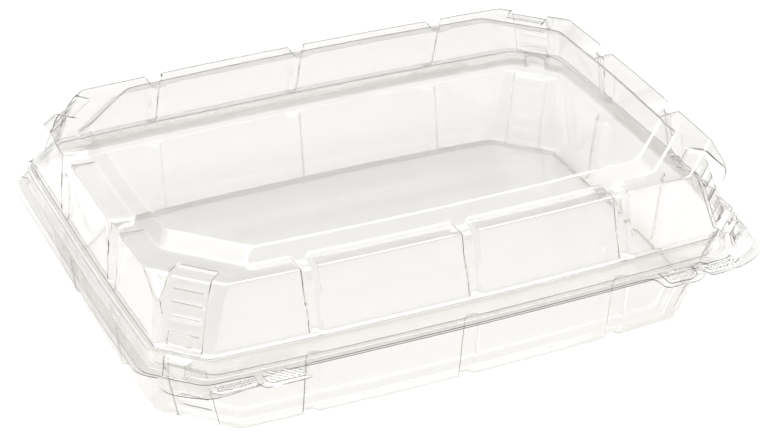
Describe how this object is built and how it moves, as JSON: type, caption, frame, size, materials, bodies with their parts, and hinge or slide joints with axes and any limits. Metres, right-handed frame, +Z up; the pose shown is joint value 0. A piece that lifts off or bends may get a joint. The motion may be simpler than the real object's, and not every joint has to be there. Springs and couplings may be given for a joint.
{
  "type": "plastic clamshell pack",
  "caption": "Hinged clear plastic food pack: a cut-corner ribbed tray and a domed, grooved lid joined along the back, with pull tabs at the front corners.",
  "frame": {"origin": "on the ground, under the middle of the closed pack's outline (2.4 mm in front of the tray's middle)", "axes": "+Z up, +X along the long side, -Y towards the opening side with the pull tabs, hinge at +Y"},
  "size_m": [0.3534, 0.2752, 0.0928],
  "materials": {
    "clear_sheet": "clear thin thermoformed sheet, glossy"
  },
  "bodies": {
    "tray": {"base_tray": "clear_sheet", "hinge_strip": "clear_sheet"},
    "lid": {"lid": "clear_sheet"}
  },
  "joints": [
    {"name": "lid_hinge", "type": "hinge", "parent": "tray", "child": "lid", "pos_m": [0, 0.13539, 0.04205], "axis": [-1, 0, 0], "range_deg": [0, 168], "deforming": ["hinge_strip"]}
  ]
}
